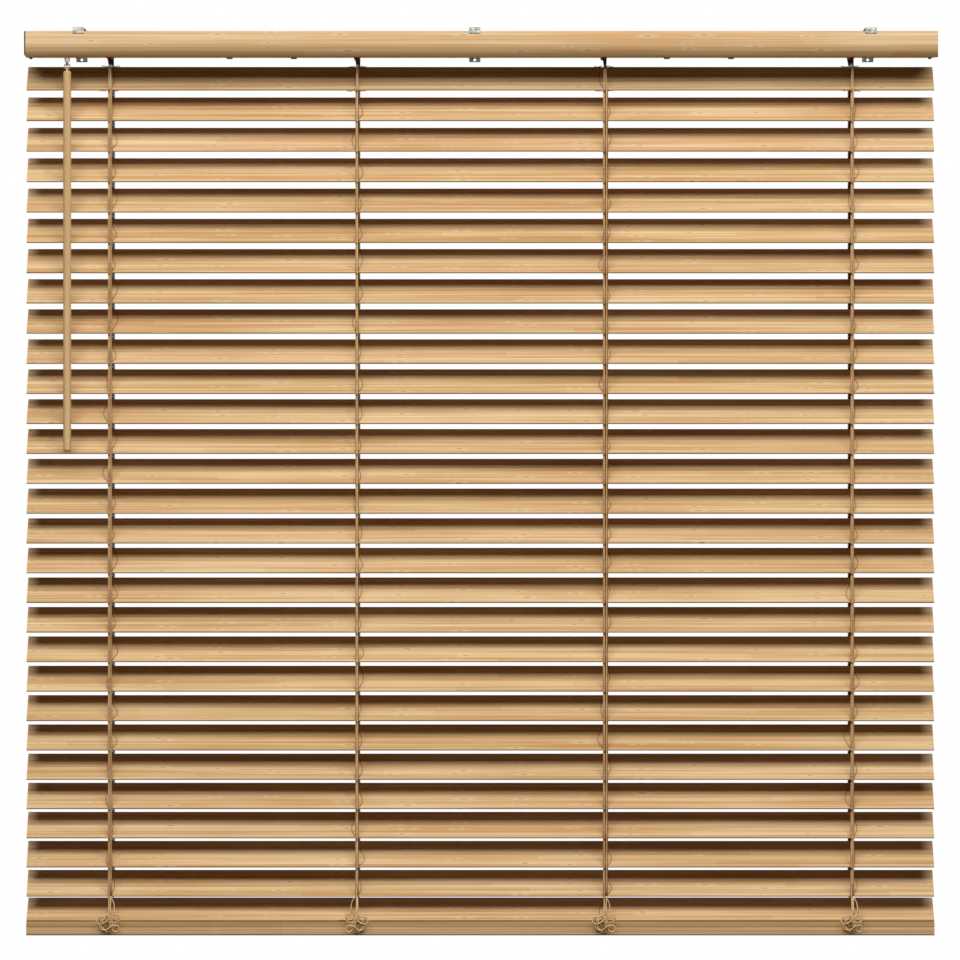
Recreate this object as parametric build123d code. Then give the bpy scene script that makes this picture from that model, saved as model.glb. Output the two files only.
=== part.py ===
from build123d import *
import math
import os

# A bamboo venetian blind, hung on three wall brackets.
# Zero is the middle of the middle bracket's screw hole, in the wall's plane.
# X runs along the blind, the room is on the -Y side, and +Z is up.

# Shares
half_share = 0.5
unit_place_share = 0.385        # a lift unit's place between an inner and an outer ladder

# Width of the whole blind
blind_width = 1300.0
blind_shift = 8.0              # the blind's middle from the middle bracket

# Head rail, a steel channel open at the top
rail_inset = 1.5               # each end, from the blind's end
rail_depth = 65.0
rail_height = 34.0
rail_wall = 0.9
rail_lip = 5.0
rail_rise = 3.6                # its base lies this far above the valance's lower edge
slide_gap = 0.3                # room left around a piece that drops into another
overrun = 2.0                  # how far a cutter runs past a face

# Valance, a bamboo board with a bowed front
valance_height = 37.1
valance_shift = 2.0            # the board's middle from the rail's
valance_edge = 8.5
valance_crown = 11.8
valance_round = 0.8
hole_drop = 36.2               # screw holes below the valance's top

# End caps
cap_plate = 2.2
cap_plug = 8.0
cap_plug_height = 12.0
foot_length = 8.5
foot_depth = 7.0
foot_reach = 3.3               # how far a foot stands out under the rail
cap_foot_length = 4.0
cap_foot_inset = 5.0

# Brackets, bent from steel strip
bracket_inset = 85.5           # outer bracket's middle from the blind's end
bracket_width = 16.2
bracket_sheet = 1.2
bracket_rise = 5.2             # top of its arm above the valance
bracket_hook = 2.9             # its lip reaches this far down the valance's front
bracket_tab = 3.2              # tab below the screw hole
bracket_ledge = 14.0
bracket_ledge_width = 4.0      # a tongue on each side of the screw hole
bracket_round = 1.0
bracket_bend = 0.8             # inside radius of its bends
screw_hole_radius = 2.0
hook_gap = 0.15

# Slats
slat_inset = 1.4               # each end, from the blind's end
slat_width = 50.0
slat_thickness = 2.4
slat_round = 0.5
slat_count = 28
slat_tilt = 44.0               # degrees, front edge down
slat_wall_gap = 29.0           # slat centre to the wall
first_slat_drop = 65.0         # slat centre below the valance's top
pitch_top = 43.75              # the ladder stretches most where it carries most
pitch_bottom = 41.6
prop_tilt = 36.0               # the lowest slat, propped on the stack
rest_gap = 0.9
flat_slats = 3

# Bottom rail
base_height = 12.2
base_bottom_drop = 1290.2      # below the valance's top
base_round = 2.4
cord_hole_radius = 1.8
cord_hole_depth = 10.0
cord_hole_rise = 4.8           # above the bottom rail's underside

# Ladders and lift cords
ladder_count = 4
ladder_inset = 118.1           # outer ladder from a slat's end
string_radius = 1.0
string_gap = 2.5               # string's centre in front of a slat's edge
lift_radius = 0.9
lift_aside = 2.0               # lift cord beside the ladder string
end_gap = 0.6
mouth_aside = 1.3
mouth_spread = 18.6            # snouts in front of and behind the slat centre

# Cord bundles
bundle_width = 36.0
bundle_height = 32.0
bundle_depth = 11.0
bundle_round = 3.0
bundle_sides = 14
bundle_gap = 0.2
bundle_rise = 1.5              # above the bottom rail's underside

# Tilter: a worm on the wand's stem turns a wheel on the tilt rod
wand_in = 6.3                  # wand's axis behind the rail's front
wand_inset = 60.4              # wand's axis from the blind's end
wheel_teeth = 10
wheel_radius = 11.0            # where wheel and worm roll on each other
wheel_root = 8.9
wheel_tip = 12.6
wheel_face = 5.0
tooth_tip_width = 1.2
tooth_root_width = 3.4
worm_radius = 4.0
worm_core = 2.2
worm_tip = 5.2
thread_tip_width = 1.0
thread_root_width = 2.0
thread_bury = 0.4
worm_turns = 2.5
run_gap = 0.4
journal_radius = 2.6
journal_length = 2.4
housing_wall = 1.2
housing_half = 16.0
housing_height = 31.4
housing_behind = 15.0
stem_radius = 3.0
stem_collar = 4.0
collar_height = 9.0
eye_radius = 3.6
eye_half = 1.6
eye_hole = 1.5
eye_drop = 45.6                # eye below the valance's top
link_radius = 4.0
link_wire = 0.9
link_facets = 8

# Wand
wand_radius = 5.7
wand_neck = 3.0
wand_neck_rise = 2.3
wand_shoulder = 1.5
wand_shoulder_drop = 2.4
wand_length = 548.0
wand_end_round = 3.5

# Tilt rod, drums and cradles
rod_side = 6.0
rod_fit = 0.05
rod_height = 17.2              # rod's axis above the rail's floor
rod_past = 18.0
drum_radius = 12.1
drum_width = 9.0
flange_radius = 13.2
flange_width = 1.2
hub_radius = 5.0
hub_length = 26.0
cradle_length = 30.0
cradle_floor = 3.0
cradle_cheek = 3.0
cradle_cheek_depth = 16.0
snout_radius = 5.0
snout_tip_radius = 4.2
snout_hole = 3.2
snout_reach = 3.6
bearing_gap = 0.25

# Spring lift units
unit_foot_aside = 46.0
unit_length = 112.0
unit_side_gap = 3.6            # between a unit and the rail's walls
unit_height = 29.0
unit_round = 2.0
unit_tunnel = 6.0
spool_radius = 11.0
spool_height = 1.6
spool_aside = 28.0

# Levels and places that follow from the sizes
half_width = half_share * blind_width
rail_length = blind_width - 2 * rail_inset
slat_length = blind_width - 2 * slat_inset
valance_top = hole_drop
valance_bottom = valance_top - valance_height
rail_bottom = valance_bottom + rail_rise
rail_floor = rail_bottom + rail_wall
rail_top = rail_bottom + rail_height
rail_back = -bracket_sheet - slide_gap
rail_front = rail_back - rail_depth
slat_y = -slat_wall_gap
wand_x = blind_shift - half_width + wand_inset
wand_y = rail_front + wand_in
rod_y = wand_y + worm_radius + wheel_radius
rod_z = rail_floor + rod_height
eye_z = valance_top - eye_drop
rail_y = half_share * (rail_front + rail_back)
half_slat = half_share * slat_width
tilt = math.radians(slat_tilt)
string_out = half_slat * math.cos(tilt) + string_gap
edge_drop = half_slat * math.sin(tilt)
pitch_loss = (pitch_top - pitch_bottom) / (slat_count - 2)
first_z = valance_top - first_slat_drop
slat_z = [first_z - i * pitch_top + pitch_loss * i * (i - 1) * half_share for i in range(slat_count)]
ladder_outer = half_share * slat_length - ladder_inset
ladder_pitch = 2 * ladder_outer / (ladder_count - 1)
ladder_x = [blind_shift - ladder_outer + i * ladder_pitch for i in range(ladder_count)]
base_bottom = valance_top - base_bottom_drop
base_top = base_bottom + base_height
stack_top = base_top + flat_slats * slat_thickness
prop = math.radians(prop_tilt)
prop_drop = (half_slat - slat_round) * math.sin(prop)
prop_drop += (half_share * slat_thickness - slat_round) * math.cos(prop) + slat_round
prop_z = stack_top + rest_gap + prop_drop
base_front = slat_y - half_slat
bundle_z = base_bottom + bundle_rise + half_share * bundle_height
bundle_y = base_front - bundle_gap - half_share * bundle_depth

os.makedirs("parts", exist_ok=True)


def save(name, *solids):
    shapes = [s for item in solids for s in item.solids()]
    whole = shapes[0] if len(shapes) == 1 else Compound(shapes)
    whole.label = name
    export_step(whole, "parts/" + name + ".step")
    return whole


def block(x0, x1, y0, y1, z0, z1):
    """A box between two corners."""
    return Pos(x0, y0, z0) * Box(x1 - x0, y1 - y0, z1 - z0, align=(Align.MIN, Align.MIN, Align.MIN))


def along_x(profile, x0, x1):
    """A profile drawn as (y, z), drawn out from x0 to x1."""
    return extrude(Plane(origin=(x0, 0, 0), x_dir=(0, 1, 0), z_dir=(1, 0, 0)) * profile, amount=x1 - x0)


def bar(start, end, radius):
    """A round bar between two points."""
    s, e = Vector(*start), Vector(*end)
    return Solid.make_cylinder(radius, (e - s).length, Plane(origin=s, z_dir=e - s))


def shaft(x0, x1, y, z, radius):
    return bar((x0, y, z), (x1, y, z), radius)


def post(x, y, z0, z1, radius):
    return bar((x, y, z0), (x, y, z1), radius)


# Head rail
rail_x0 = blind_shift - half_share * rail_length
rail_x1 = blind_shift + half_share * rail_length
rail = block(rail_x0, rail_x1, rail_front, rail_back, rail_bottom, rail_top)
rail -= block(rail_x0 - overrun, rail_x1 + overrun, rail_front + rail_wall, rail_back - rail_wall,
              rail_floor, rail_top - rail_wall)
rail -= block(rail_x0 - overrun, rail_x1 + overrun, rail_front + rail_lip, rail_back - rail_lip,
              rail_floor, rail_top + overrun)
bends = rail.edges().filter_by(Axis.X).filter_by_position(Axis.Z, rail_bottom, rail_bottom)
rail = fillet(bends, rail_wall)
mouths = [(x, slat_y + side * mouth_spread) for x in ladder_x for side in (-1, 1)]
for x, y in mouths:
    rail -= post(x, y, rail_bottom - overrun, rail_floor + overrun, snout_radius + slide_gap)
rail -= post(wand_x, wand_y, rail_bottom - overrun, rail_floor + overrun, stem_radius + run_gap)
foot_y = slat_y
unit_in = (1 - unit_place_share) * ladder_pitch
unit_x = [ladder_x[0] + unit_in, ladder_x[-1] - unit_in]
for x in unit_x:
    for side in (-1, 1):
        foot_x = x + side * unit_foot_aside
        half = half_share * foot_length + slide_gap
        deep = half_share * foot_depth + slide_gap
        rail -= block(foot_x - half, foot_x + half, foot_y - deep, foot_y + deep,
                      rail_bottom - overrun, rail_floor + overrun)
cap_foot_x = [rail_x0 + cap_foot_inset, rail_x1 - cap_foot_inset]
for x in cap_foot_x:
    half = half_share * cap_foot_length + slide_gap
    deep = half_share * foot_depth + slide_gap
    rail -= block(x - half, x + half, foot_y - deep, foot_y + deep,
                  rail_bottom - overrun, rail_floor + overrun)
save("head_rail", rail)

# Valance: flat back on the rail, bowed front
valance_x0 = blind_shift + valance_shift - half_width
valance_x1 = blind_shift + valance_shift + half_width
valance_back = rail_front
valance_mid = half_share * (valance_top + valance_bottom)
with BuildSketch() as board:
    with BuildLine():
        Polyline((valance_back - valance_edge, valance_bottom), (valance_back, valance_bottom),
                 (valance_back, valance_top), (valance_back - valance_edge, valance_top))
        ThreePointArc((valance_back - valance_edge, valance_top),
                      (valance_back - valance_crown, valance_mid),
                      (valance_back - valance_edge, valance_bottom))
    make_face()
valance = along_x(board.sketch, valance_x0, valance_x1)
front_edges = valance.edges().filter_by(Axis.X).group_by(Axis.Y)[0]
valance = fillet(front_edges, valance_round)
save("valance", valance)

# End caps: a plate over the rail's end, a plug inside it and a foot that snaps through the base
rail_ends = (("end_cap_left", rail_x0, -1, cap_foot_x[0]), ("end_cap_right", rail_x1, 1, cap_foot_x[1]))
for name, end, out, foot_x in rail_ends:
    x0, x1 = sorted((end, end + out * cap_plate))
    cap = block(x0, x1, rail_front, rail_back, rail_bottom, rail_top)
    x0, x1 = sorted((end, end - out * cap_plug))
    cap += block(x0, x1, rail_front + rail_wall + slide_gap, rail_back - rail_wall - slide_gap,
                 rail_floor, rail_floor + cap_plug_height)
    half, deep = half_share * cap_foot_length, half_share * foot_depth
    cap += block(foot_x - half, foot_x + half, foot_y - deep, foot_y + deep,
                 rail_bottom - foot_reach, rail_floor)
    save(name, cap)

# Brackets: plate on the wall, arm over the rail, lip over the valance and two tongues under the rail
arm_top = valance_top + bracket_rise
arm_low = arm_top - bracket_sheet
lip_tip = valance_top - bracket_hook
bow = valance_crown - valance_edge
bow_radius = ((half_share * valance_height) ** 2 + bow**2) / (2 * bow)
bow_y = valance_back - valance_crown + bow_radius
tip_in = bow_y - math.sqrt(bow_radius**2 - (lip_tip - valance_mid) ** 2) - hook_gap
lip_in = valance_back - valance_edge - hook_gap
with BuildSketch() as strip:
    with BuildLine():
        Polyline((0, arm_top), (0, -bracket_tab), (-bracket_sheet, -bracket_tab), (-bracket_sheet, arm_low),
                 (lip_in, arm_low), (tip_in, lip_tip), (tip_in - bracket_sheet, lip_tip),
                 (lip_in - bracket_sheet, arm_top), (0, arm_top))
    make_face()
    for corner in ((0, arm_top), (lip_in - bracket_sheet, arm_top)):
        fillet(strip.vertices().sort_by_distance(corner)[0], bracket_bend + bracket_sheet)
    for corner in ((-bracket_sheet, arm_low), (lip_in, arm_low)):
        fillet(strip.vertices().sort_by_distance(corner)[0], bracket_bend)
for name, place in (("bracket_left", -1), ("bracket_middle", 0), ("bracket_right", 1)):
    x = place * (half_width - bracket_inset)
    half = half_share * bracket_width
    bracket = along_x(strip.sketch, x - half, x + half)
    tab_edges = bracket.edges().filter_by(Axis.Y).group_by(Axis.Z)[0]
    bracket = fillet(tab_edges, bracket_round)
    for side in (-1, 1):
        x0, x1 = sorted((x + side * half, x + side * (half - bracket_ledge_width)))
        bracket += block(x0, x1, -bracket_ledge, -half_share * bracket_sheet,
                         rail_bottom - bracket_sheet, rail_bottom)
    bracket -= bar((x, overrun, 0), (x, -bracket_sheet - overrun, 0), screw_hole_radius)
    save(name, bracket)

# Slats, each with rounded long edges
slat_x0 = blind_shift - half_share * slat_length
slat_x1 = blind_shift + half_share * slat_length
flat = along_x(RectangleRounded(slat_width, slat_thickness, slat_round), slat_x0, slat_x1)
for i, z in enumerate(slat_z):
    save(f"slat_{i + 1:02d}", Pos(0, slat_y, z) * Rot(slat_tilt, 0, 0) * flat)
save("slat_propped", Pos(0, slat_y, prop_z) * Rot(prop_tilt, 0, 0) * flat)
for i in range(flat_slats):
    save(f"resting_slat_{i + 1}", Pos(0, slat_y, base_top + (i + half_share) * slat_thickness) * flat)

# Bottom rail with the holes that take the cords' ends
base = along_x(RectangleRounded(slat_width, base_height, base_round), slat_x0, slat_x1)
base = Pos(0, slat_y, half_share * (base_bottom + base_top)) * base
for x in ladder_x:
    hole_z = base_bottom + cord_hole_rise
    base -= bar((x, base_front - overrun, hole_z), (x, base_front + cord_hole_depth, hole_z),
                cord_hole_radius)
save("bottom_rail", base)

# Ladder strings and lift cords, from the first slat's edges to the last tilting slat's edges
front_y = slat_y - string_out
back_y = slat_y + string_out
front_top, front_low = slat_z[0] - edge_drop, slat_z[-1] - edge_drop
back_top, back_low = slat_z[0] + edge_drop, slat_z[-1] + edge_drop
save("ladder_fronts", *[post(x, front_y, front_low, front_top, string_radius) for x in ladder_x])
save("ladder_backs", *[post(x, back_y, back_low, back_top, string_radius) for x in ladder_x])
lift_x = [x + lift_aside for x in ladder_x]
save("lift_cords_front", *[post(x, front_y, front_low, front_top, lift_radius) for x in lift_x])
save("lift_cords_back", *[post(x, back_y, back_low, back_top, lift_radius) for x in lift_x])

# Cord ends: from the snouts down to the strings, and from the strings down to the bottom rail
snout_low = rail_bottom - snout_reach
tops, tails = [], []
for x in ladder_x:
    for side, y, high, low in ((-1, front_y, front_top, front_low), (1, back_y, back_top, back_low)):
        mouth_y = slat_y + side * mouth_spread
        pair = ((0, -mouth_aside, string_radius), (lift_aside, mouth_aside, lift_radius))
        for aside, start, radius in pair:
            tops.append(bar((x + start, mouth_y, rail_floor), (x + aside, y, high + end_gap), radius))
            tail_y = bundle_y if side < 0 else slat_y + half_slat + string_gap
            tail_z = bundle_z + half_share * bundle_height + end_gap if side < 0 else base_top
            tails.append(bar((x + aside, y, low - end_gap), (x + aside, tail_y, tail_z), radius))
save("ladder_top_ends", *tops)
save("ladder_tails", *tails)

# Bundles of slack cord in front of the bottom rail
bundle_corners = []
for i in range(bundle_sides):
    turn = 2 * math.pi * (i + half_share) / bundle_sides
    corner = (half_share * bundle_width * math.cos(turn), half_share * bundle_height * math.sin(turn))
    bundle_corners.append(corner)
hank = extrude(Plane.XZ * Polygon(*bundle_corners, align=None), amount=half_share * bundle_depth, both=True)
rims = hank.edges().group_by(Axis.Y)
hank = chamfer(rims[0] + rims[-1], bundle_round)
for i, x in enumerate(ladder_x):
    save(f"cord_bundle_{i + 1}", Pos(x, bundle_y, bundle_z) * hank)

# Tilt rod with its drums
rod_half = half_share * rod_side
rod_x0 = wand_x - half_share * wheel_face - rod_past
rod_x1 = ladder_x[-1] + rod_past
rod = block(rod_x0, rod_x1, rod_y - rod_half, rod_y + rod_half, rod_z - rod_half, rod_z + rod_half)
save("tilt_rod", rod)
keyway = rod_half + rod_fit
drums = []
for x in ladder_x:
    drum_half = half_share * drum_width
    drum = shaft(x - half_share * hub_length, x + half_share * hub_length, rod_y, rod_z, hub_radius)
    drum += shaft(x - drum_half, x + drum_half, rod_y, rod_z, drum_radius)
    drum += shaft(x - drum_half - flange_width, x - drum_half, rod_y, rod_z, flange_radius)
    drum += shaft(x + drum_half, x + drum_half + flange_width, rod_y, rod_z, flange_radius)
    drum -= block(x - hub_length, x + hub_length, rod_y - keyway, rod_y + keyway,
                  rod_z - keyway, rod_z + keyway)
    drums.append(drum)
save("tilt_drums", *drums)

# Cradles: a floor with two snouts through the rail's base, and two cheeks that carry the drum's hub
cradles = []
for x in ladder_x:
    half = half_share * cradle_length
    cradle = block(x - half, x + half, rail_front + rail_wall + slide_gap,
                   rail_back - rail_wall - slide_gap, rail_floor, rail_floor + cradle_floor)
    cheek_y0 = rod_y - half_share * cradle_cheek_depth
    cheek_y1 = rod_y + half_share * cradle_cheek_depth
    for side in (-1, 1):
        x0, x1 = sorted((x + side * half, x + side * (half - cradle_cheek)))
        cradle += block(x0, x1, cheek_y0, cheek_y1, rail_floor, rod_z)
        mouth_y = slat_y + side * mouth_spread
        snout = Cone(snout_radius, snout_tip_radius, rail_floor + overrun - snout_low,
                     align=(Align.CENTER, Align.CENTER, Align.MIN))
        cradle += Pos(x, mouth_y, rail_floor + overrun) * Rot(180, 0, 0) * snout
        cradle -= post(x, mouth_y, snout_low - overrun, rail_floor + cradle_floor + overrun, snout_hole)
    cradle -= shaft(x - cradle_length, x + cradle_length, rod_y, rod_z, hub_radius + bearing_gap)
    cradles.append(cradle)
save("drum_cradles", *cradles)

# Worm wheel on the rod, with a tooth gap facing the worm
wheel = shaft(wand_x - half_share * wheel_face, wand_x + half_share * wheel_face, rod_y, rod_z, wheel_root)
tooth_foot = wheel_root - thread_bury
tooth = Polygon((tooth_foot, -half_share * tooth_root_width), (wheel_tip, -half_share * tooth_tip_width),
                (wheel_tip, half_share * tooth_tip_width), (tooth_foot, half_share * tooth_root_width),
                align=None)
tooth = along_x(tooth, wand_x - half_share * wheel_face, wand_x + half_share * wheel_face)
for i in range(wheel_teeth):
    turn = (i + half_share) * 360 / wheel_teeth + 180
    wheel += Pos(0, rod_y, rod_z) * Rot(turn, 0, 0) * tooth
wheel -= block(wand_x - wheel_face, wand_x + wheel_face, rod_y - keyway, rod_y + keyway,
               rod_z - keyway, rod_z + keyway)
save("tilter_wheel", wheel)

# Worm, stem and eye in one piece
worm_lead = 2 * math.pi * wheel_radius / wheel_teeth
worm_half = half_share * worm_turns * worm_lead
collar_top = rail_bottom - run_gap
thread_half = worm_half - half_share * thread_root_width
helix = Helix(worm_lead, 2 * thread_half, worm_radius)
with BuildSketch(Plane(origin=helix @ 0, x_dir=(1, 0, 0), z_dir=helix % 0)) as tooth_cut:
    Polygon((worm_core - thread_bury - worm_radius, -half_share * thread_root_width),
            (worm_tip - worm_radius, -half_share * thread_tip_width),
            (worm_tip - worm_radius, half_share * thread_tip_width),
            (worm_core - thread_bury - worm_radius, half_share * thread_root_width), align=None)
thread = sweep(tooth_cut.sketch, path=helix, is_frenet=True)
thread_start = 90 - 360 * thread_half / worm_lead  # degrees, so that it lies in the wheel's tooth gap
worm = post(wand_x, wand_y, rod_z - worm_half, rod_z + worm_half, worm_core)
worm += Pos(wand_x, wand_y, rod_z - thread_half) * Rot(0, 0, thread_start) * thread
worm += post(wand_x, wand_y, rod_z + worm_half, rod_z + worm_half + journal_length, journal_radius)
worm += post(wand_x, wand_y, collar_top - collar_height, rod_z - worm_half, journal_radius)
worm += post(wand_x, wand_y, collar_top - collar_height, collar_top, stem_collar)
knob = Pos(wand_x, wand_y, eye_z) * Sphere(eye_radius)
knob &= block(wand_x - eye_half, wand_x + eye_half, wand_y - eye_radius, wand_y + eye_radius,
              eye_z - eye_radius, eye_z + eye_radius)
worm += knob
worm -= shaft(wand_x - eye_radius, wand_x + eye_radius, wand_y, eye_z, eye_hole)
save("tilter_worm", worm)

# Tilter housing around worm and wheel
hx0, hx1 = wand_x - housing_half, wand_x + housing_half
hy0, hy1 = rail_front + rail_wall + slide_gap, rod_y + housing_behind
hz1 = rail_floor + housing_height
housing = block(hx0, hx1, hy0, hy1, rail_floor, hz1)
wheel_room = wheel_tip + run_gap
housing -= block(wand_x - wheel_face, wand_x + wheel_face, rod_y - wheel_room, rod_y + wheel_room,
                 rail_floor + housing_wall, hz1 - housing_wall)
housing -= post(wand_x, wand_y, rod_z - worm_half - run_gap, rod_z + worm_half + run_gap,
                worm_tip + run_gap)
housing -= post(wand_x, wand_y, rail_floor - overrun, rod_z + worm_half + journal_length + run_gap,
                journal_radius + run_gap)
housing -= shaft(hx0 - overrun, hx1 + overrun, rod_y, rod_z, rod_side)
save("tilter_housing", housing)

# Link between the stem's eye and the wand
link_z = eye_z - link_radius
link_cut = Plane.XZ * Pos(link_radius, 0) * RegularPolygon(link_wire, link_facets)
save("wand_link", Pos(wand_x, wand_y, link_z) * Rot(90, 0, 0) * revolve(link_cut, Axis.Z))

# Wand: a bamboo rod with a turned neck, hung on the link
pin_z = eye_z - 2 * link_radius
neck_top = pin_z + wand_neck_rise
wand_bottom = neck_top - wand_length
shoulder_top = pin_z - wand_shoulder_drop
with BuildSketch(Plane.XZ) as turned:
    with BuildLine():
        Polyline((0, neck_top), (wand_neck, neck_top), (wand_neck, shoulder_top),
                 (wand_radius, shoulder_top - wand_shoulder), (wand_radius, wand_bottom),
                 (0, wand_bottom), (0, neck_top))
    make_face()
wand = revolve(turned.sketch, Axis.Z)
wand = fillet(wand.edges().group_by(Axis.Z)[0], wand_end_round)
wand = Pos(wand_x, wand_y, 0) * wand
for side in (-1, 1):
    x0, x1 = sorted((wand_x + side * eye_half, wand_x + side * wand_radius))
    wand -= block(x0, x1, wand_y - wand_radius, wand_y + wand_radius, shoulder_top, neck_top + overrun)
wand -= shaft(wand_x - wand_radius, wand_x + wand_radius, wand_y, pin_z, eye_hole)
save("wand", wand)

# Spring lift units, sealed, with the rod passing through
for name, x in (("lift_unit_left", unit_x[0]), ("lift_unit_right", unit_x[1])):
    half, deep = half_share * unit_length, half_share * rail_depth - rail_wall - unit_side_gap
    unit = block(x - half, x + half, rail_y - deep, rail_y + deep, rail_floor, rail_floor + unit_height)
    unit = fillet(unit.edges().filter_by(Axis.Z), unit_round)
    for side in (-1, 1):
        foot_x = x + side * unit_foot_aside
        half, deep = half_share * foot_length, half_share * foot_depth
        unit += block(foot_x - half, foot_x + half, foot_y - deep, foot_y + deep,
                      rail_bottom - foot_reach, rail_floor)
        unit += post(x + side * spool_aside, rail_y, rail_floor + unit_height,
                     rail_floor + unit_height + spool_height, spool_radius)
    unit -= shaft(x - unit_length, x + unit_length, rod_y, rod_z, unit_tunnel)
    save(name, unit)
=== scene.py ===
# %% [markdown]
# # A bamboo venetian blind
# The blind hangs from three steel brackets: a bowed valance, twenty-nine tilted slats on four
# cord ladders, a bottom rail and a turning wand. Its rigid pieces arrive as solids, already at
# their real size and place in metres, so this lesson finishes their surfaces and makes what is
# soft: strings, rungs, knots and the slack cord that hangs in front of the bottom rail.

# %% Load the frame
import math
import random
import bpy
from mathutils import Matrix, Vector


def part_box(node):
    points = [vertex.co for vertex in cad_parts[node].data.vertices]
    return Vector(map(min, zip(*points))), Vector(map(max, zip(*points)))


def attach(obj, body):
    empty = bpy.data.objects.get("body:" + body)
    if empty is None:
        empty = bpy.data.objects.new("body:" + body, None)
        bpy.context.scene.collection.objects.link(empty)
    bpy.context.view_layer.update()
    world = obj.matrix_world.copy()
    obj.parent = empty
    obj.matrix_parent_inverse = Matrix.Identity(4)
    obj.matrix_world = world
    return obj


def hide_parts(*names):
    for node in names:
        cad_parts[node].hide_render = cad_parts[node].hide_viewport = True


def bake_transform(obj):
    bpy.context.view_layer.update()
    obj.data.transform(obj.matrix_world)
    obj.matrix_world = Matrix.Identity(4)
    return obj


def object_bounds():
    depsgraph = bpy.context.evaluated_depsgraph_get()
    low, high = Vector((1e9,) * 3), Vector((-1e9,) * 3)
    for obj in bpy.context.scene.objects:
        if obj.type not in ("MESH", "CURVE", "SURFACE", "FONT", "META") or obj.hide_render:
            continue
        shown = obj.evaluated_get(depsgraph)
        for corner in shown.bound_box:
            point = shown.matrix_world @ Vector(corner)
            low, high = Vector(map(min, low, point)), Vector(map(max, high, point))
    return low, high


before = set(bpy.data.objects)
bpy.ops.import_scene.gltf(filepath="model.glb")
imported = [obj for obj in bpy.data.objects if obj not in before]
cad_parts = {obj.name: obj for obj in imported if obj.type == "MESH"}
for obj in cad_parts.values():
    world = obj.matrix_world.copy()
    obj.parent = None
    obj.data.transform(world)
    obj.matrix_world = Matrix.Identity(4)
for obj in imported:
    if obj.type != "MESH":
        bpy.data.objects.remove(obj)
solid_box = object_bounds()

mm = 0.001
print("solids reach", [[round(v, 4) for v in corner] for corner in solid_box])

# %% [markdown]
# Everything soft is tied to the slats and rails, so its places are read from their boxes instead
# of being typed in. A slat is a thin flat bar, so its box gives its tilt closely, once the flat
# slats at the bottom have told its width and thickness.


# %% Places read from the solids
def middle(node):
    low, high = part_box(node)
    return (Vector(low) + Vector(high)) / 2


def spread(node):
    low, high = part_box(node)
    return Vector(high) - Vector(low)


def names_with(start):
    return sorted(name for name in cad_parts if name.startswith(start))


slat_names = [name for name in names_with("slat_") if name != "slat_propped"]
resting_names = names_with("resting_slat")
bundle_names = names_with("cord_bundle")
slat_width = spread(resting_names[0]).y
slat_thick = spread(resting_names[0]).z
ladder_x = [middle(name).x for name in bundle_names]
front_y = middle("ladder_fronts").y
back_y = middle("ladder_backs").y
string_radius = spread("ladder_fronts").y / 2
lift_radius = spread("lift_cords_front").y / 2
lift_aside = middle("lift_cords_front").x - middle("ladder_fronts").x
cord_asides = [2.8 * mm, 1.3 * mm, 3.6 * mm, 2.0 * mm]     # lift cord from its string, ladder by ladder
back_shifts = [1.6 * mm, 1.6 * mm, 1.4 * mm, -1.5 * mm]    # back string from the front one
back_x = [x + shift for x, shift in zip(ladder_x, back_shifts)]
print(len(slat_names), "tilting slats,", round(slat_width / mm, 1), "mm wide; ladders at",
      [round(x, 3) for x in ladder_x])


def slat_tilt(node):
    size = spread(node)
    return math.atan2(size.z - slat_thick, size.y - slat_thick)


# %% [markdown]
# The photograph was taken straight on from far away, so the slats look alike from top to bottom
# and the valance hides the head rail. A camera about eight and a half metres out with a narrow
# lens gives the same picture. The field of view comes from the width seen at the valance.

# %% Camera
image_side = 960
metres_per_pixel = 0.001424
camera_reach = 8.54
camera_aside = 0.0075
camera_drop = 0.6397
valance_low, valance_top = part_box("valance")[0][2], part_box("valance")[1][2]
valance_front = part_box("valance")[0][1]
camera_data = bpy.data.cameras.new("camera")
camera = bpy.data.objects.new("camera", camera_data)
bpy.context.scene.collection.objects.link(camera)
camera.location = (camera_aside, valance_front - camera_reach, valance_top - camera_drop)
camera.rotation_euler = (math.pi / 2, 0, 0)
camera_data.sensor_fit = "HORIZONTAL"
camera_data.angle = 2 * math.atan(image_side * metres_per_pixel / 2 / camera_reach)
camera_data.clip_end = 60
bpy.context.scene.camera = camera
print("field of view", round(math.degrees(camera_data.angle), 2), "degrees")

# %% [markdown]
# The sky and all materials here are built from nodes, and a few lines of node code repeat in each
# of them. Small helpers keep the recipes short: `add` makes a node and wires its inputs, `calc`
# does arithmetic, `mix` mixes colours, and `rgb` takes a colour as a screen shows it.


# %% Node helpers
def add(tree, kind, wires=None, **settings):
    """Adds a node; wires maps an input's name or number to a value or to another node's output."""
    node = tree.nodes.new(kind)
    for key, value in settings.items():
        setattr(node, key, value)
    for key, value in (wires or {}).items():
        if isinstance(value, bpy.types.NodeSocket):
            tree.links.new(value, node.inputs[key])
        else:
            node.inputs[key].default_value = value
    return node


def calc(tree, operation, a, b=0.0, c=0.0):
    return add(tree, "ShaderNodeMath", {0: a, 1: b, 2: c}, operation=operation).outputs[0]


def mix(tree, share, a, b, blend="MIX"):
    node = add(tree, "ShaderNodeMix", {0: share, 6: a, 7: b}, data_type="RGBA", blend_type=blend)
    return node.outputs[2]


def ramp(tree, value, low, high):
    """0 below low, 1 above high, smooth between."""
    node = add(tree, "ShaderNodeMapRange", {"Value": value, "From Min": low, "From Max": high},
               interpolation_type="SMOOTHSTEP")
    return node.outputs["Result"]


def noise(tree, vector, detail=2.0, roughness=0.5):
    node = add(tree, "ShaderNodeTexNoise", {"Vector": vector, "Scale": 1.0, "Detail": detail,
                                            "Roughness": roughness})
    return node.outputs["Fac"]


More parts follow.
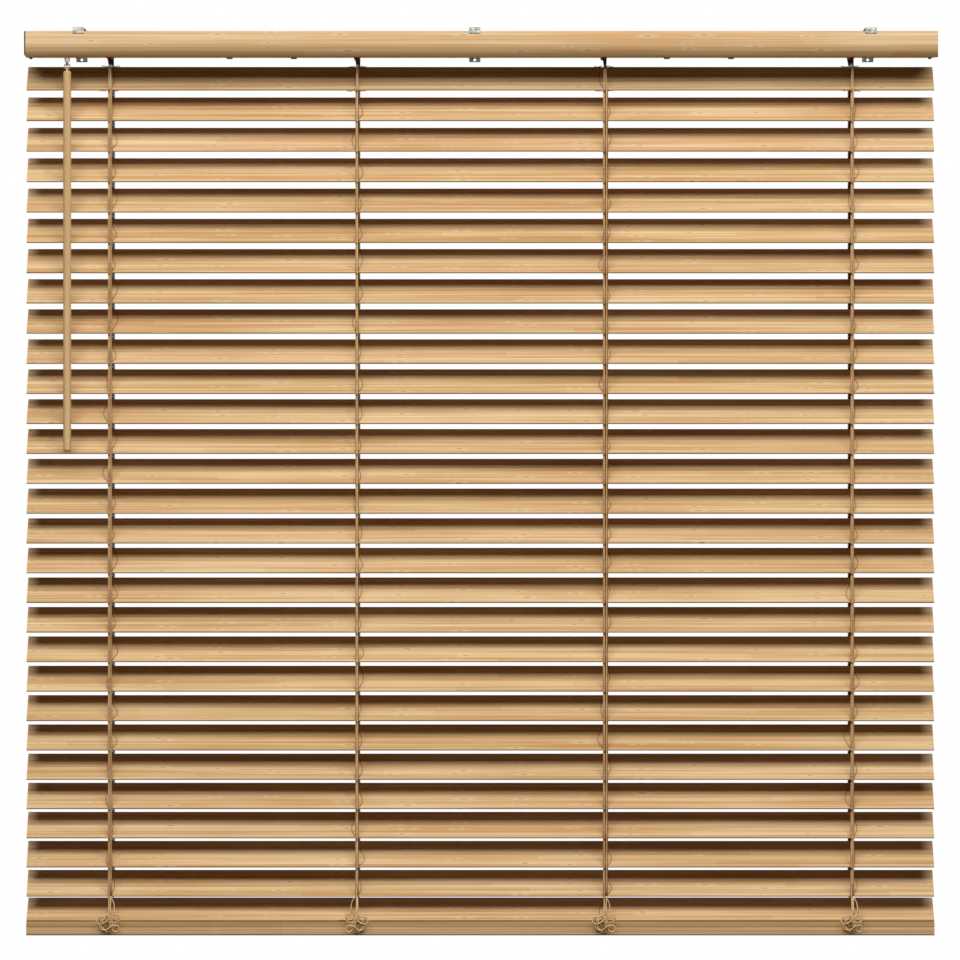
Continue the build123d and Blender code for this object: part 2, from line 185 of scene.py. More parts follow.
def stretch(tree, vector, factors):
    return add(tree, "ShaderNodeVectorMath", {0: vector, 1: factors}, operation="MULTIPLY").outputs[0]


def new_group(name, inputs, outputs):
    group = bpy.data.node_groups.new(name, "ShaderNodeTree")
    for key, kind in inputs:
        group.interface.new_socket(key, in_out="INPUT", socket_type=kind)
    for key, kind in outputs:
        group.interface.new_socket(key, in_out="OUTPUT", socket_type=kind)
    return group, group.nodes.new("NodeGroupInput"), group.nodes.new("NodeGroupOutput")


def new_material(name):
    material = bpy.data.materials.new(name)
    material.use_nodes = True
    tree = material.node_tree
    return material, tree, tree.nodes["Principled BSDF"]


def rgb(red, green, blue):
    """A screen colour of 0 to 255, as the linear colour that a shader wants."""
    def linear(v):
        v = v / 255
        return v / 12.92 if v <= 0.04045 else ((v + 0.055) / 1.055) ** 2.4
    return (linear(red), linear(green), linear(blue), 1)


# %% [markdown]
# One wide soft box stands in front of the blind and above it, at about forty-five degrees. Each
# slat then throws a soft shadow on the upper part of the slat below, and because the box is wide
# that shadow thins out near the slats' ends. A weak box behind keeps the back readable, and the
# camera doesn't see it. The sky shows as plain white but lights the blind only a little, and the
# floor is pale to look at but dark to bounced light. Both keep the shadows between the slats deep.


# %% Light and floor
def aim(obj, target):
    obj.rotation_euler = (Vector(target) - obj.location).to_track_quat("-Z", "Y").to_euler()


def soft_box(name, place, target, width, height, watts):
    lamp = bpy.data.lights.new(name, "AREA")
    lamp.shape = "RECTANGLE"
    lamp.size = width
    lamp.size_y = height
    lamp.energy = watts
    obj = bpy.data.objects.new(name, lamp)
    bpy.context.scene.collection.objects.link(obj)
    obj.location = place
    aim(obj, target)
    return obj


blind_middle = (0.0, -0.03, -0.6)
key_place, key_width, key_height, key_watts = (0.2, -5.51, 5.2), 12.0, 4.4, 820
back_place, back_width, back_height, back_watts = (0.0, 5.0, -0.4), 4.0, 2.0, 12
sky_tint = (1.0, 0.98, 0.95, 1)
sky_fill = 0.01
soft_box("key_box", key_place, blind_middle, key_width, key_height, key_watts)
back_box = soft_box("back_box", back_place, blind_middle, back_width, back_height, back_watts)
back_box.visible_camera = False

world = bpy.data.worlds.new("studio")
bpy.context.scene.world = world
world.use_nodes = True
sky = world.node_tree
sky.nodes.clear()
rays = add(sky, "ShaderNodeLightPath").outputs
mirrored = calc(sky, "MAXIMUM", rays["Is Camera Ray"], rays["Is Glossy Ray"])
looking = calc(sky, "MAXIMUM", mirrored, rays["Is Transmission Ray"])
dim = add(sky, "ShaderNodeBackground", {"Color": sky_tint, "Strength": sky_fill})
white = add(sky, "ShaderNodeBackground", {"Color": (1, 1, 1, 1), "Strength": 1.0})
shown_sky = add(sky, "ShaderNodeMixShader", {0: looking, 1: dim.outputs[0], 2: white.outputs[0]})
add(sky, "ShaderNodeOutputWorld", {"Surface": shown_sky.outputs[0]})
bpy.context.scene.view_settings.view_transform = "Standard"

floor_drop = 0.65
floor_half = 6.0
floor_z = solid_box[0][2] - floor_drop
floor_mesh = bpy.data.meshes.new("floor")
corners = [(-floor_half, -floor_half, floor_z), (floor_half, -floor_half, floor_z),
           (floor_half, floor_half, floor_z), (-floor_half, floor_half, floor_z)]
floor_mesh.from_pydata(corners, [], [(0, 1, 2, 3)])
floor = bpy.data.objects.new("floor", floor_mesh)
bpy.context.scene.collection.objects.link(floor)
floor_material, floor_tree, floor_shader = new_material("floor_paper")
floor_where = add(floor_tree, "ShaderNodeTexCoord").outputs["Object"]
floor_tone = noise(floor_tree, stretch(floor_tree, floor_where, (2, 2, 2)))
floor_pale = mix(floor_tree, floor_tone, rgb(246, 246, 246), rgb(240, 240, 240))
bounced = add(floor_tree, "ShaderNodeLightPath").outputs["Is Diffuse Ray"]
floor_colour = mix(floor_tree, bounced, floor_pale, rgb(40, 40, 40))
floor_tree.links.new(floor_colour, floor_shader.inputs["Base Color"])
floor_shader.inputs["Roughness"].default_value = 0.9
floor_mesh.materials.append(floor_material)
print("two soft boxes, sky and floor at", round(floor_z, 3))

# %% [markdown]
# Bamboo slats are glued up from long strips. Close to, each strip has its own tone, fine fibres
# run along it, and small brown eyes mark where a leaf sheath sat on the cane. One node group
# makes all of that from a position whose X runs along the grain, and every bamboo piece uses it
# with its own colours. Painting an image would also work, but nodes stay sharp at any distance.

# %% Bamboo grain group
strip_wide = 8.5 * mm
strip_long = 420 * mm
eye_apart = 85 * mm
eye_rise = 12.5 * mm
fibre_scale = (7, 1500, 1500)       # features a metre along, across and through the grain
streak_scale = (2.2, 260, 260)
cloud_scale = (3.5, 9, 60)
eyes_left_out = 0.6
eye_least, eye_growth = 0.015, 0.09
tone_weight, streak_weight, cloud_weight, fibre_weight = 0.15, 1.3, 0.5, 0.5
streak_level = -0.305
darkest, lightest = -0.05, 0.95
halo_strength, eye_strength = 0.4, 0.6
gloss_rough, fibre_rough, eye_rough = 0.34, 0.16, 0.12
eye_depth = 0.6
bamboo, bamboo_in, bamboo_out = new_group(
    "bamboo_grain",
    [("Position", "NodeSocketVector"), ("Light", "NodeSocketColor"), ("Dark", "NodeSocketColor"),
     ("Eye", "NodeSocketColor")],
    [("Colour", "NodeSocketColor"), ("Roughness", "NodeSocketFloat"), ("Height", "NodeSocketFloat")])
place = bamboo_in.outputs["Position"]
parts = add(bamboo, "ShaderNodeSeparateXYZ", {0: place}).outputs
strip = calc(bamboo, "FLOOR", calc(bamboo, "DIVIDE", parts[1], strip_wide))
shift = add(bamboo, "ShaderNodeTexWhiteNoise", {"W": strip}, noise_dimensions="1D").outputs["Value"]
piece = calc(bamboo, "FLOOR", calc(bamboo, "ADD", calc(bamboo, "DIVIDE", parts[0], strip_long), shift))
cell = add(bamboo, "ShaderNodeCombineXYZ", {0: piece, 1: strip}).outputs[0]
tone = add(bamboo, "ShaderNodeTexWhiteNoise", {"Vector": cell}, noise_dimensions="2D").outputs["Value"]
fibre = noise(bamboo, stretch(bamboo, place, fibre_scale), detail=3.0, roughness=0.6)
streak = noise(bamboo, stretch(bamboo, place, streak_scale))
cloud = noise(bamboo, stretch(bamboo, place, cloud_scale))
eye_place = stretch(bamboo, place, (1 / eye_apart, 1 / eye_rise, 0))
eyes = add(bamboo, "ShaderNodeTexVoronoi", {"Vector": eye_place, "Scale": 1.0, "Randomness": 0.9},
           voronoi_dimensions="2D", feature="F1")
pick = add(bamboo, "ShaderNodeSeparateColor", {0: eyes.outputs["Color"]}).outputs[0]
shown = calc(bamboo, "GREATER_THAN", pick, eyes_left_out)
size = calc(bamboo, "MULTIPLY_ADD", pick, eye_growth, eye_least)
reach = calc(bamboo, "DIVIDE", eyes.outputs["Distance"], size)
inside = calc(bamboo, "SUBTRACT", 1.0, ramp(bamboo, reach, 0.2, 1.0))
around = calc(bamboo, "SUBTRACT", 1.0, ramp(bamboo, reach, 1.0, 2.6))
eye = calc(bamboo, "MULTIPLY", inside, shown)
halo = calc(bamboo, "MULTIPLY", around, shown)
lightness = calc(bamboo, "MULTIPLY_ADD", streak, streak_weight, streak_level)
lightness = calc(bamboo, "MULTIPLY_ADD", tone, tone_weight, lightness)
for field, weight in ((cloud, cloud_weight), (fibre, fibre_weight)):
    centred = calc(bamboo, "MULTIPLY_ADD", field, weight, -weight / 2)
    lightness = calc(bamboo, "ADD", lightness, centred)
colour = mix(bamboo, ramp(bamboo, lightness, darkest, lightest), bamboo_in.outputs["Dark"],
             bamboo_in.outputs["Light"])
colour = mix(bamboo, calc(bamboo, "MULTIPLY", halo, halo_strength), colour, bamboo_in.outputs["Light"])
colour = mix(bamboo, calc(bamboo, "MULTIPLY", eye, eye_strength), colour, bamboo_in.outputs["Eye"])
bamboo.links.new(colour, bamboo_out.inputs["Colour"])
rough = calc(bamboo, "MULTIPLY_ADD", fibre, fibre_rough, gloss_rough)
rough = calc(bamboo, "MULTIPLY_ADD", eye, eye_rough, rough)
bamboo.links.new(rough, bamboo_out.inputs["Roughness"])
height = calc(bamboo, "MULTIPLY_ADD", eye, -eye_depth, fibre)
bamboo.links.new(height, bamboo_out.inputs["Height"])
print("bamboo grain group has", len(bamboo.nodes), "nodes")

# %% [markdown]
# The slats, the valance, the bottom rail and the wand are all lacquered bamboo, but not one
# colour: the valance is the palest, with painted shade that browns its lower half, and the stack at
# the bottom is the dullest and is darkened as painted shade under the propped slat. The grain has
# to lie along each piece, so a Mapping node first turns the position to the piece's own tilt. The
# sawn ends are found by the face's direction and get a darker end grain.


# %% Bamboo materials
def bamboo_material(name, light, dark, tilt=0.0, upright=False, shine=0.12, lower_shade=None):
    material, tree, shader = new_material(name)
    where = add(tree, "ShaderNodeTexCoord").outputs["Object"]
    turn = (0, math.pi / 2, 0) if upright else (-tilt, 0, 0)
    turned = add(tree, "ShaderNodeMapping", {"Vector": where, "Rotation": turn}).outputs[0]
    grain = add(tree, "ShaderNodeGroup", node_tree=bamboo)
    tree.links.new(turned, grain.inputs["Position"])
    grain.inputs["Light"].default_value = light
    grain.inputs["Dark"].default_value = dark
    grain.inputs["Eye"].default_value = eye_brown
    colour = grain.outputs["Colour"]
    # Painted shade: below the given height band the colour is multiplied towards a brown tint, fully at
    # the bottom.
    if lower_shade:
        low, high, brown = lower_shade
        shaded_colour = mix(tree, 1.0, colour, brown, "MULTIPLY")
        rise = add(tree, "ShaderNodeSeparateXYZ", {0: where}).outputs[2]
        colour = mix(tree, ramp(tree, rise, low, high), shaded_colour, colour)
    if not upright:
        normal = add(tree, "ShaderNodeNewGeometry").outputs["Normal"]
        sideways = add(tree, "ShaderNodeSeparateXYZ", {0: normal}).outputs[0]
        sawn = ramp(tree, calc(tree, "ABSOLUTE", sideways), *sawn_facing)
        colour = mix(tree, calc(tree, "MULTIPLY", sawn, sawn_strength), colour, eye_brown)
    tree.links.new(colour, shader.inputs["Base Color"])
    tree.links.new(grain.outputs["Roughness"], shader.inputs["Roughness"])
    relief = add(tree, "ShaderNodeBump", {"Height": grain.outputs["Height"], "Strength": grain_bump,
                                          "Distance": grain_depth})
    tree.links.new(relief.outputs[0], shader.inputs["Normal"])
    shader.inputs["Specular IOR Level"].default_value = shine
    return material


eye_brown = rgb(138, 78, 28)
sawn_facing = (0.75, 0.95)
sawn_strength = 0.75
grain_bump = 0.12
grain_depth = 0.4 * mm
slat_light, slat_dark = rgb(247, 216, 168), rgb(198, 150, 94)
# Painted shade on the valance: its lower half is browned, fully at the bottom edge and not at all from
# the middle up.
valance_shade_band = (valance_low, (valance_low + valance_top) / 2, rgb(178, 161, 134))
slat_bamboo = bamboo_material("slat_bamboo", slat_light, slat_dark, tilt=slat_tilt(slat_names[0]))
prop_bamboo = bamboo_material("prop_bamboo", slat_light, slat_dark, tilt=slat_tilt("slat_propped"))
flat_bamboo = bamboo_material("flat_bamboo", rgb(240, 200, 150), rgb(206, 158, 108))
# Painted shade: the resting stack gets darker bamboo, standing for the shade under the propped slat.
shaded_stack_bamboo = bamboo_material("shaded_stack_bamboo", rgb(228, 192, 138), rgb(192, 150, 98), shine=0.0)
valance_bamboo = bamboo_material("valance_bamboo", rgb(255, 228, 186), rgb(222, 168, 106),
                                 tilt=math.pi / 2, lower_shade=valance_shade_band)
wand_bamboo = bamboo_material("wand_bamboo", rgb(252, 218, 164), rgb(220, 174, 118), upright=True)
print("six bamboo finishes")

# %% [markdown]
# The other finishes are small: zinc on the brackets, painted steel on the head rail, brown plastic
# on the caps and cradles, grey plastic on the works inside the rail, clear plastic on the wand's
# stem and link, and cotton cord. Each still varies over its surface, because nothing real is one
# flat colour.


# %% Metal, plastic and cord materials
def speckled(name, light, dark, grain, rough, bump, metallic=0.0):
    material, tree, shader = new_material(name)
    where = add(tree, "ShaderNodeTexCoord").outputs["Object"]
    patch = noise(tree, stretch(tree, where, (grain, grain, grain)), detail=3.0)
    tree.links.new(mix(tree, ramp(tree, patch, 0.3, 0.7), dark, light), shader.inputs["Base Color"])
    spot = add(tree, "ShaderNodeMapRange", {"Value": patch, "To Min": rough[0], "To Max": rough[1]})
    tree.links.new(spot.outputs["Result"], shader.inputs["Roughness"])
    relief = add(tree, "ShaderNodeBump", {"Height": patch, "Strength": bump, "Distance": relief_depth})
    tree.links.new(relief.outputs[0], shader.inputs["Normal"])
    shader.inputs["Metallic"].default_value = metallic
    return material


relief_depth = 0.3 * mm
zinc = speckled("zinc", rgb(168, 168, 163), rgb(108, 108, 105),
                grain=180, rough=(0.3, 0.42), bump=0.08, metallic=1.0)
painted_steel = speckled("painted_steel", rgb(196, 164, 116), rgb(180, 148, 102),
                         grain=700, rough=(0.35, 0.5), bump=0.15)
rod_steel = speckled("rod_steel", rgb(190, 190, 190), rgb(150, 150, 150),
                     grain=160, rough=(0.25, 0.45), bump=0.05, metallic=1.0)
brown_plastic = speckled("brown_plastic", rgb(84, 54, 32), rgb(62, 38, 22),
                         grain=900, rough=(0.4, 0.55), bump=0.15)
moulded = speckled("moulded_plastic", rgb(178, 172, 160), rgb(160, 152, 140),
                   grain=900, rough=(0.4, 0.55), bump=0.15)


def clear_plastic():
    material, tree, shader = new_material("clear_plastic")
    where = add(tree, "ShaderNodeTexCoord").outputs["Object"]
    haze = noise(tree, stretch(tree, where, (300, 300, 300)))
    tint = mix(tree, haze, rgb(238, 222, 218), rgb(214, 196, 192))
    tree.links.new(tint, shader.inputs["Base Color"])
    spot = add(tree, "ShaderNodeMapRange", {"Value": haze, "To Min": 0.08, "To Max": 0.25})
    tree.links.new(spot.outputs["Result"], shader.inputs["Roughness"])
    shader.inputs["Transmission Weight"].default_value = 0.75
    shader.inputs["IOR"].default_value = 1.49
    return material


def cord_material(name, light, dark):
    material, tree, shader = new_material(name)
    where = add(tree, "ShaderNodeTexCoord").outputs["Object"]
    fuzz = noise(tree, stretch(tree, where, (1500, 1500, 700)), detail=3.0)
    slub = noise(tree, stretch(tree, where, (90, 90, 60)))
    shade = calc(tree, "MULTIPLY_ADD", fuzz, 0.6, calc(tree, "MULTIPLY", slub, 0.4))
    tree.links.new(mix(tree, ramp(tree, shade, 0.3, 0.7), dark, light), shader.inputs["Base Color"])
    spot = add(tree, "ShaderNodeMapRange", {"Value": fuzz, "To Min": 0.75, "To Max": 0.95})
    tree.links.new(spot.outputs["Result"], shader.inputs["Roughness"])
    relief = add(tree, "ShaderNodeBump", {"Height": fuzz, "Strength": 0.5, "Distance": relief_depth})
    tree.links.new(relief.outputs[0], shader.inputs["Normal"])
    shader.inputs["Specular IOR Level"].default_value = 0.1
    return material


stem_plastic = clear_plastic()
string_cotton = cord_material("string_cotton", rgb(255, 229, 182), rgb(216, 170, 114))
ladder_cotton = cord_material("ladder_cotton", rgb(255, 222, 168), rgb(206, 158, 104))
# Painted shade: a much darker copy of the ladder cotton for the back strings, cords and fans, which
# hang in shadow.
painted_shade_cotton = cord_material("painted_shade_cotton", rgb(112, 78, 48), rgb(66, 42, 24))
thread_cotton = cord_material("thread_cotton", rgb(176, 110, 52), rgb(118, 66, 26))
knot_cotton = cord_material("knot_cotton", rgb(176, 128, 78), rgb(112, 74, 42))
print("metal, plastic and cord finishes ready")

# %% [markdown]
# The solids already have the right shape, so they only need their finish. Each line below gives a
# finish to the nodes that wear it.


# %% Dress the solids
def dress(material, *nodes):
    for node in nodes:
        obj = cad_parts[node]
        if not obj.material_slots:
            obj.data.materials.append(material)
        for place_on in obj.material_slots:
            place_on.material = material


dress(slat_bamboo, *slat_names)
dress(prop_bamboo, "slat_propped")
dress(shaded_stack_bamboo, *resting_names)
dress(flat_bamboo, "bottom_rail")
dress(valance_bamboo, "valance")
dress(wand_bamboo, "wand")
dress(stem_plastic, "tilter_worm", "wand_link")
dress(zinc, "bracket_left", "bracket_middle", "bracket_right")
dress(painted_steel, "head_rail")
dress(rod_steel, "tilt_rod")
dress(brown_plastic, "end_cap_left", "end_cap_right", "drum_cradles")
dress(moulded, "tilt_drums", "tilter_wheel", "tilter_housing", "lift_unit_left", "lift_unit_right")
print("solids dressed")

# %% [markdown]
# A string is a tube swept along a path. Blender's curve bevel would do for one string, but there
# are hundreds of short threads here, so one function sweeps a ring of points along any path and
# collects them all in one mesh. The ring is carried along the path without spinning, and a twisted
# string is just two thin tubes winding round the same path, a little off its middle.


# %% Sweeping threads
strand_off = 0.48       # of the string's radius, from its middle to a strand's middle
strand_thick = 0.58     # of the string's radius


class Threads:
    """Collects swept tubes for one mesh object."""

    def __init__(self):
        self.points = []
        self.faces = []

    def tube(self, path, radius, sides=6):
        path = [Vector(p) for p in path]
        start = len(self.points)
        side = None
        for i, spot in enumerate(path):
            ahead = (path[min(i + 1, len(path) - 1)] - path[max(i - 1, 0)]).normalized()
            if side is None:
                side = ahead.orthogonal().normalized()
            side = (side - ahead * side.dot(ahead)).normalized()
            up = ahead.cross(side)
            for k in range(sides):
                turn = 2 * math.pi * k / sides
                self.points.append(spot + (side * math.cos(turn) + up * math.sin(turn)) * radius)
        for i in range(len(path) - 1):
            for k in range(sides):
                a = start + i * sides + k
                b = start + i * sides + (k + 1) % sides
                self.faces.append((a, b, b + sides, a + sides))
        last = start + (len(path) - 1) * sides
        self.faces.append(tuple(start + k for k in reversed(range(sides))))
        self.faces.append(tuple(last + k for k in range(sides)))

    def twist(self, path, radius, pitch, sides=5, strands=2):
        """A string of thin strands laid round one path."""
        path = [Vector(p) for p in path]
        run, runs = 0.0, [0.0]
        for a, b in zip(path, path[1:]):
            run += (b - a).length
            runs.append(run)
        for strand in range(strands):
            winding, side = [], None
            for i, spot in enumerate(path):
                ahead = (path[min(i + 1, len(path) - 1)] - path[max(i - 1, 0)]).normalized()
                if side is None:
                    side = Vector((1, 0, 0))
                side = (side - ahead * side.dot(ahead)).normalized()
                up = ahead.cross(side)
                turn = 2 * math.pi * (runs[i] / pitch + strand / strands)
                out = side * math.cos(turn) + up * math.sin(turn)
                winding.append(spot + out * radius * strand_off)
            self.tube(winding, radius * strand_thick, sides)

    def build(self, name, material):
        mesh = bpy.data.meshes.new(name)
        mesh.from_pydata(self.points, [], self.faces)
        mesh.materials.append(material)
        for face in mesh.polygons:
            face.use_smooth = True
        obj = bpy.data.objects.new(name, mesh)
        bpy.context.scene.collection.objects.link(obj)
        print(name, "has", sum(len(f) - 2 for f in self.faces), "triangles")
        return obj


def line(start, end, step):
    """Points on a straight run, about a step apart."""
    start, end = Vector(start), Vector(end)
    count = max(2, int((end - start).length / step) + 1)
    return [start.lerp(end, i / (count - 1)) for i in range(count)]


# %% [markdown]
# Each ladder is a pair of strings, one in front of the slats and one behind, and a lift cord runs
# beside each string. They travel with the slats' edges, so they ride on bodies of their own. The
# ladder string is two strands that part under each knot and twist together again, and the lift
# cord is a smoother round braid. The back strings and cords wear a much darker cotton than the
# front ones, which is painted shade. A thin dark thread along both sides of each cord is painted
# shadow: the dark line that each cord's shadow draws beside it.

# %% Ladder strings and lift cords
twist_pitch = 8.5 * mm
ring_step = 1.6 * mm
braid_step = 20 * mm
spindle_share = 0.55
spindle_wide = 0.4 * mm
strand_share = 0.6
braid_share = 0.85
# Painted shadow: thin dark threads beside every cord stand for the shadow line each cord draws.
shadow_line_aside = 1.25 * mm
shadow_line_radius = 0.36 * mm


def parted(x, y, knots, strand):
    """One strand of a ladder string: it parts from its twin under a knot and meets it at the next."""
    points = []
    for top, low in zip(knots, knots[1:]):
        steps = int((top - low) / ring_step)
        for i in range(steps):
            share = i / steps
            open_by = math.sin(math.pi * min(share / spindle_share, 1)) * spindle_wide * strand
            turn = max(share - spindle_share, 0) * (top - low) / twist_pitch
            turn = math.pi * (strand + 2 * turn)
            out = strand_off * string_radius + open_by
            z = top + (low - top) * share
            points.append((x + out * math.cos(turn), y + out * math.sin(turn), z))
    points.append((x, y, knots[-1]))
    return points


def strings(name, body, string_node, lift_node, places, y, end, material, painted_shadow_material):
    knots = [middle(slat).z + end * slat_width / 2 * math.sin(slat_tilt(slat)) for slat in slat_names]
    laid, braid, shadow_lines = Threads(), Threads(), Threads()

    def drop(x, back=0.0):
        return line((x, y + back, knots[0]), (x, y + back, knots[-1]), braid_step)

    for x, aside in zip(places, cord_asides):
        for strand in (0, 1):
            laid.tube(parted(x, y, knots, strand), string_radius * strand_share, 6)
        braid.tube(drop(x + aside), lift_radius * braid_share, 8)
        # Painted shadow lines on both sides of each string and lift cord.
        for cord_x in (x, x + aside):
            for side in (-1, 1):
                shadow_lines.tube(drop(cord_x + side * shadow_line_aside, shadow_line_radius), shadow_line_radius, 5)
    pieces = ((laid, "strings", string_node, material), (braid, "lift_cords", lift_node, material),
              (shadow_lines, "painted_shadow_threads", string_node, painted_shadow_material))
    for part, kind, node, finish in pieces:
        obj = part.build(name + "_" + kind, finish)
        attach(obj, body)
        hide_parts(node)


strings("front", "front_cords", "ladder_fronts", "lift_cords_front", ladder_x, front_y, -1,
        ladder_cotton, thread_cotton)
# The back strings, lift cords and their outline threads wear the darker cotton as painted shade.
strings("back", "back_cords", "ladder_backs", "lift_cords_back", back_x, back_y, 1,
        painted_shade_cotton, painted_shade_cotton)

# %% [markdown]
# At every slat a rung passes under it and a loose thread crosses over it, bowed to one side, and
# both are tied to the strings with a small brown knot. The threads lie on the slat, so they ride
# with it. The knots sit on the strings, so they ride with those. The first slat also shows ragged
# thread ends along its edges. A fixed seed makes every run draw the same loops.

# %% Rungs, loose threads and knots
thread_radius = 0.36 * mm
fray_radius = 0.6 * mm
knot_thread = 0.5 * mm
knot_long = 3.4 * mm
knot_vary = 0.6 * mm
knot_pitch = 1.1 * mm
knot_ring = 7               # points in one turn of a knot
knot_swell = 0.35           # fatter in the middle, as a share of the string's radius
bow_least, bow_most = 4, 11                  # of a loose thread, in millimetres
bow_ways = (1, 1, 1, 1, -1)                  # four in five bow to the right
peak_least, peak_most = 0.7, 2.2
over_aside = 0.8 * mm
rung_bow = 0.6 * mm
tuft_points = 9
tuft_start, tuft_step = 2.5 * mm, 1.3 * mm
tuft_wave = 1.5 * mm
tuft_out = 0.9 * mm
tuft_edges = ((-1, -0.4), (1, 1.0))          # front or back edge, height in half thicknesses
dice = random.Random(7)


def on_slat(node):
    """Turns (along, across, above) on a slat into a point; across is negative at the front."""
    centre, tilt = middle(node), slat_tilt(node)
    across = Vector((0, math.cos(tilt), math.sin(tilt)))
    above = Vector((0, -math.sin(tilt), math.cos(tilt)))
    return lambda x, a, n: Vector((x, centre.y, centre.z)) + across * a + above * n


def skin(a, clearance):
    """Height of a thread over a slat; past the edge it drops towards the knot."""
    past = abs(a) - slat_width / 2
    reach = slat_thick / 2 + clearance
    return reach if past <= 0 else reach * (1 - past / (2 * clearance))


def over_slat(place_at, x, bow, peak, side, steps=22):
    """A thread from the back string to the front one, over (side 1) or under (side -1) the slat."""
    reach = slat_width / 2 + 2 * thread_radius
    points = []
    for i in range(steps + 1):
        s = i / steps
        a = reach * (1 - 2 * s)
        bend = math.sin(math.pi * s**peak)
        points.append(place_at(x + bow * bend, a, side * skin(a, thread_radius)))
    return points


def lay_threads(node, body):
    place_at = on_slat(node)
    threads = Threads()
    for x in ladder_x:
        bow = dice.uniform(bow_least, bow_most) * dice.choice(bow_ways) * mm
        peak = dice.uniform(peak_least, peak_most)
        threads.tube(over_slat(place_at, x + over_aside, bow, peak, 1), thread_radius, 5)
        threads.tube(over_slat(place_at, x, rung_bow, 1.0, -1, 12), thread_radius, 5)
    obj = threads.build("threads_" + node, thread_cotton)
    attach(obj, body)


def tie_knots(name, body, places, y, end):
    knots = Threads()
    for node in slat_names:
        place_at = on_slat(node)
        z = place_at(0, end * slat_width / 2, 0).z
        for x in places:
            long = knot_long + dice.uniform(-knot_vary, knot_vary)
            steps = int(long / knot_pitch * knot_ring)
            wrap = []
            for i in range(steps + 1):
                turn = 2 * math.pi * i / knot_ring
                fat = string_radius * (1 + knot_swell * math.sin(math.pi * i / steps))
                wrap.append((x + fat * math.cos(turn), y + fat * math.sin(turn), z - long * i / steps))
            knots.tube(wrap, knot_thread, 5)
    obj = knots.build(name, knot_cotton)
    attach(obj, body)


def fray(node, body):
    """Ragged thread ends along the front and back edges of a slat, on both sides of each ladder."""
    place_at = on_slat(node)
    frayed = Threads()
    for x in ladder_x:
        for end, lift in tuft_edges:
            across = end * (slat_width / 2 + tuft_out)
            for way in (-1, 1):
                tuft = []
                for i in range(tuft_points):
                    along = (tuft_start + tuft_step * i) * way
                    above = lift * slat_thick / 2 + dice.uniform(-tuft_wave, tuft_wave)
                    tuft.append(place_at(x + along, across, above))
                frayed.tube(tuft, fray_radius, 5)
    obj = frayed.build("frayed_ends", thread_cotton)
    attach(obj, body)


for slat in slat_names:
    lay_threads(slat, slat)
fray(slat_names[0], slat_names[0])
lay_threads("slat_propped", "head_rail")
tie_knots("front_knots", "front_cords", ladder_x, front_y, -1)
tie_knots("back_knots", "back_cords", back_x, back_y, 1)

# %% [markdown]
# Above the first slat the cords fan out into the snouts under the rail, and below the last one they
# run down to the bottom rail, in front with a loose strand beside them. These short ends have one
# end on the rail and the other on a slat that tilts; they are drawn where they hang at rest and are
# tied to no body.

# %% Cord ends at the head rail and above the bottom rail
rail_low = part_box("head_rail")[0][2]
base_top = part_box("bottom_rail")[1][2]
bundle_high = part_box(bundle_names[0])[1][2]
bundle_y = middle(bundle_names[0]).y
front_foot = (bundle_y, bundle_high)
back_foot = (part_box("ladder_tails")[1][1] - string_radius, base_top)
fan_half = 2.4 * mm
fan_strands = 5
fan_share = 0.8             # a fan strand's thickness, of the string's
fan_lean = 1.6 * mm         # the fan starts this far towards the slats
gather_drop = 12.5 * mm
gather_least = 3 * mm
loose_radius = 0.7 * mm
loose_sides = (1, -1, 1, 1)
# Millimetres aside, and the share of the drop
loose_route = ((1.6, 0.0), (4.2, 0.16), (6.4, 0.34), (7.6, 0.55), (8.0, 0.8), (7.6, 1.1))


def top_ends(word, side, places, y, run_material, shaded_fan_material):
    edge_z = on_slat(slat_names[0])(0, side * slat_width / 2, 0).z
    gather_z = max(rail_low - gather_drop, edge_z + gather_least)
    start_y = y - side * fan_lean
    run, fan = Threads(), Threads()
    for x, aside in zip(places, cord_asides):
        run.twist(line((x, y, gather_z), (x, y, edge_z), ring_step), string_radius, twist_pitch)
        cord = line((x + lift_aside, y, gather_z), (x + aside, y, edge_z), ring_step)
        run.tube(cord, lift_radius, 8)
        for k in range(fan_strands):
            share = k / (fan_strands - 1)
            top = (x + fan_half * (2 * share - 1), start_y, rail_low)
            low = (x + lift_aside * share, y, gather_z)
            fan.tube(line(top, low, ring_step), string_radius * fan_share, 6)
    for part, kind, material in ((run, "top_ends_", run_material), (fan, "top_fans_", shaded_fan_material)):
        obj = part.build(kind + word, material)
        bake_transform(obj)
        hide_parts("ladder_top_ends")


def tail_ends(word, side, places, y, foot, loose):
    edge_z = on_slat(slat_names[-1])(0, side * slat_width / 2, 0).z
    foot_y, foot_z = foot
    tail = Threads()
    for x, string_x, aside, loose_side in zip(ladder_x, places, cord_asides, loose_sides):
        string = line((string_x, y, edge_z), (x, *foot), ring_step)
        cord = line((string_x + aside, y, edge_z), (x + lift_aside, *foot), ring_step)
        tail.twist(string, string_radius, twist_pitch)
        tail.tube(cord, lift_radius, 8)
        if loose:
            strand = [(x + loose_side * px * mm, y + (foot_y - y) * share,
                       edge_z + (foot_z - edge_z) * share) for px, share in loose_route]
            tail.tube(strand, loose_radius, 6)
    obj = tail.build("tail_ends_" + word, string_cotton)
    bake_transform(obj)
    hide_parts("ladder_tails")


# The fans under the rail wear darker cotton than their strings: painted shade under the rail.
top_ends("front", -1, ladder_x, front_y, string_cotton, thread_cotton)
tail_ends("front", -1, ladder_x, front_y, front_foot, loose=True)
# The back ends and fans wear the darker cotton as painted shade.
top_ends("back", 1, back_x, back_y, painted_shade_cotton, painted_shade_cotton)
tail_ends("back", 1, back_x, back_y, back_foot, loose=False)
